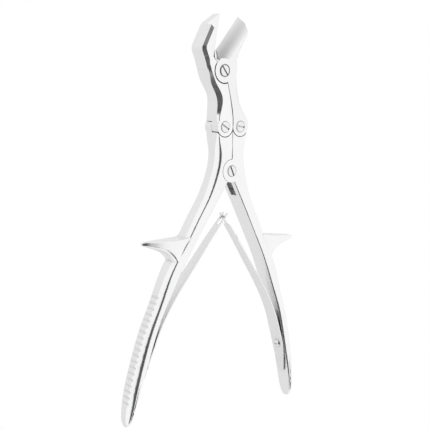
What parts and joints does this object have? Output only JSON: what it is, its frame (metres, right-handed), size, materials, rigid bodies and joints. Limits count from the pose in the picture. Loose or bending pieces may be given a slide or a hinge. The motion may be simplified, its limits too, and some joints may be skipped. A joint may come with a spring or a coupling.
{
  "type": "rib shears",
  "caption": "Double-action rib shears: two spurred handles with leaf springs drive a short blade and a hooked jaw through a pivoted linkage.",
  "frame": {"origin": "on the handle pivot axis at the flat back face", "axes": "+Z from the back face to the front face with the screw heads, +Y from the handle pivot towards the jaws, +X towards the blade-side handle"},
  "size_m": [0.1378, 0.2502, 0.013],
  "materials": {
    "polished_steel": "satin polished",
    "ground_steel": "polished with a ground blade",
    "spring_steel": "satin",
    "screw_steel": "turned"
  },
  "bodies": {
    "left_handle": {"left_handle": "polished_steel", "handle_pivot_screw": "screw_steel", "hook_link_screw": "screw_steel", "left_spring_screw": "screw_steel"},
    "right_handle": {"right_handle": "polished_steel", "blade_link_screw": "screw_steel", "right_spring_screw": "screw_steel"},
    "hook_jaw": {"hook_jaw": "polished_steel", "jaw_pivot_screw": "screw_steel"},
    "blade_jaw": {"blade_jaw": "ground_steel"},
    "left_spring": {"left_leaf_spring": "spring_steel"},
    "right_spring": {"right_leaf_spring": "spring_steel"}
  },
  "joints": [
    {"name": "handle_close", "type": "hinge", "parent": "left_handle", "child": "right_handle", "pos_m": [0, 0, 0.00625], "axis": [0, 0, -1], "range_deg": [0, 36], "stiffness_Nm_per_rad": 3},
    {"name": "hook_link", "type": "hinge", "parent": "left_handle", "child": "hook_jaw", "pos_m": [-0.00749, 0.02717, 0.00625], "axis": [0, 0, -1], "range_deg": [0, 40.5]},
    {"name": "blade_link", "type": "hinge", "parent": "right_handle", "child": "blade_jaw", "pos_m": [0.0048, 0.02777, 0.00625], "axis": [0, 0, 1], "range_deg": [0, 24]},
    {"name": "left_spring_bend", "type": "hinge", "parent": "left_handle", "child": "left_spring", "pos_m": [-0.05565, -0.117, 0.00625], "axis": [0, 0, 1], "range_deg": [0, 5.2]},
    {"name": "right_spring_bend", "type": "hinge", "parent": "right_handle", "child": "right_spring", "pos_m": [0.05565, -0.117, 0.00625], "axis": [0, 0, -1], "range_deg": [0, 5.2]}
  ],
  "couplings": [
    {"joint": "hook_link", "follows": "handle_close", "ratio": 1.12},
    {"joint": "blade_link", "follows": "handle_close", "ratio": 0.66},
    {"joint": "left_spring_bend", "follows": "handle_close", "ratio": 0.1431},
    {"joint": "right_spring_bend", "follows": "handle_close", "ratio": 0.1431}
  ]
}
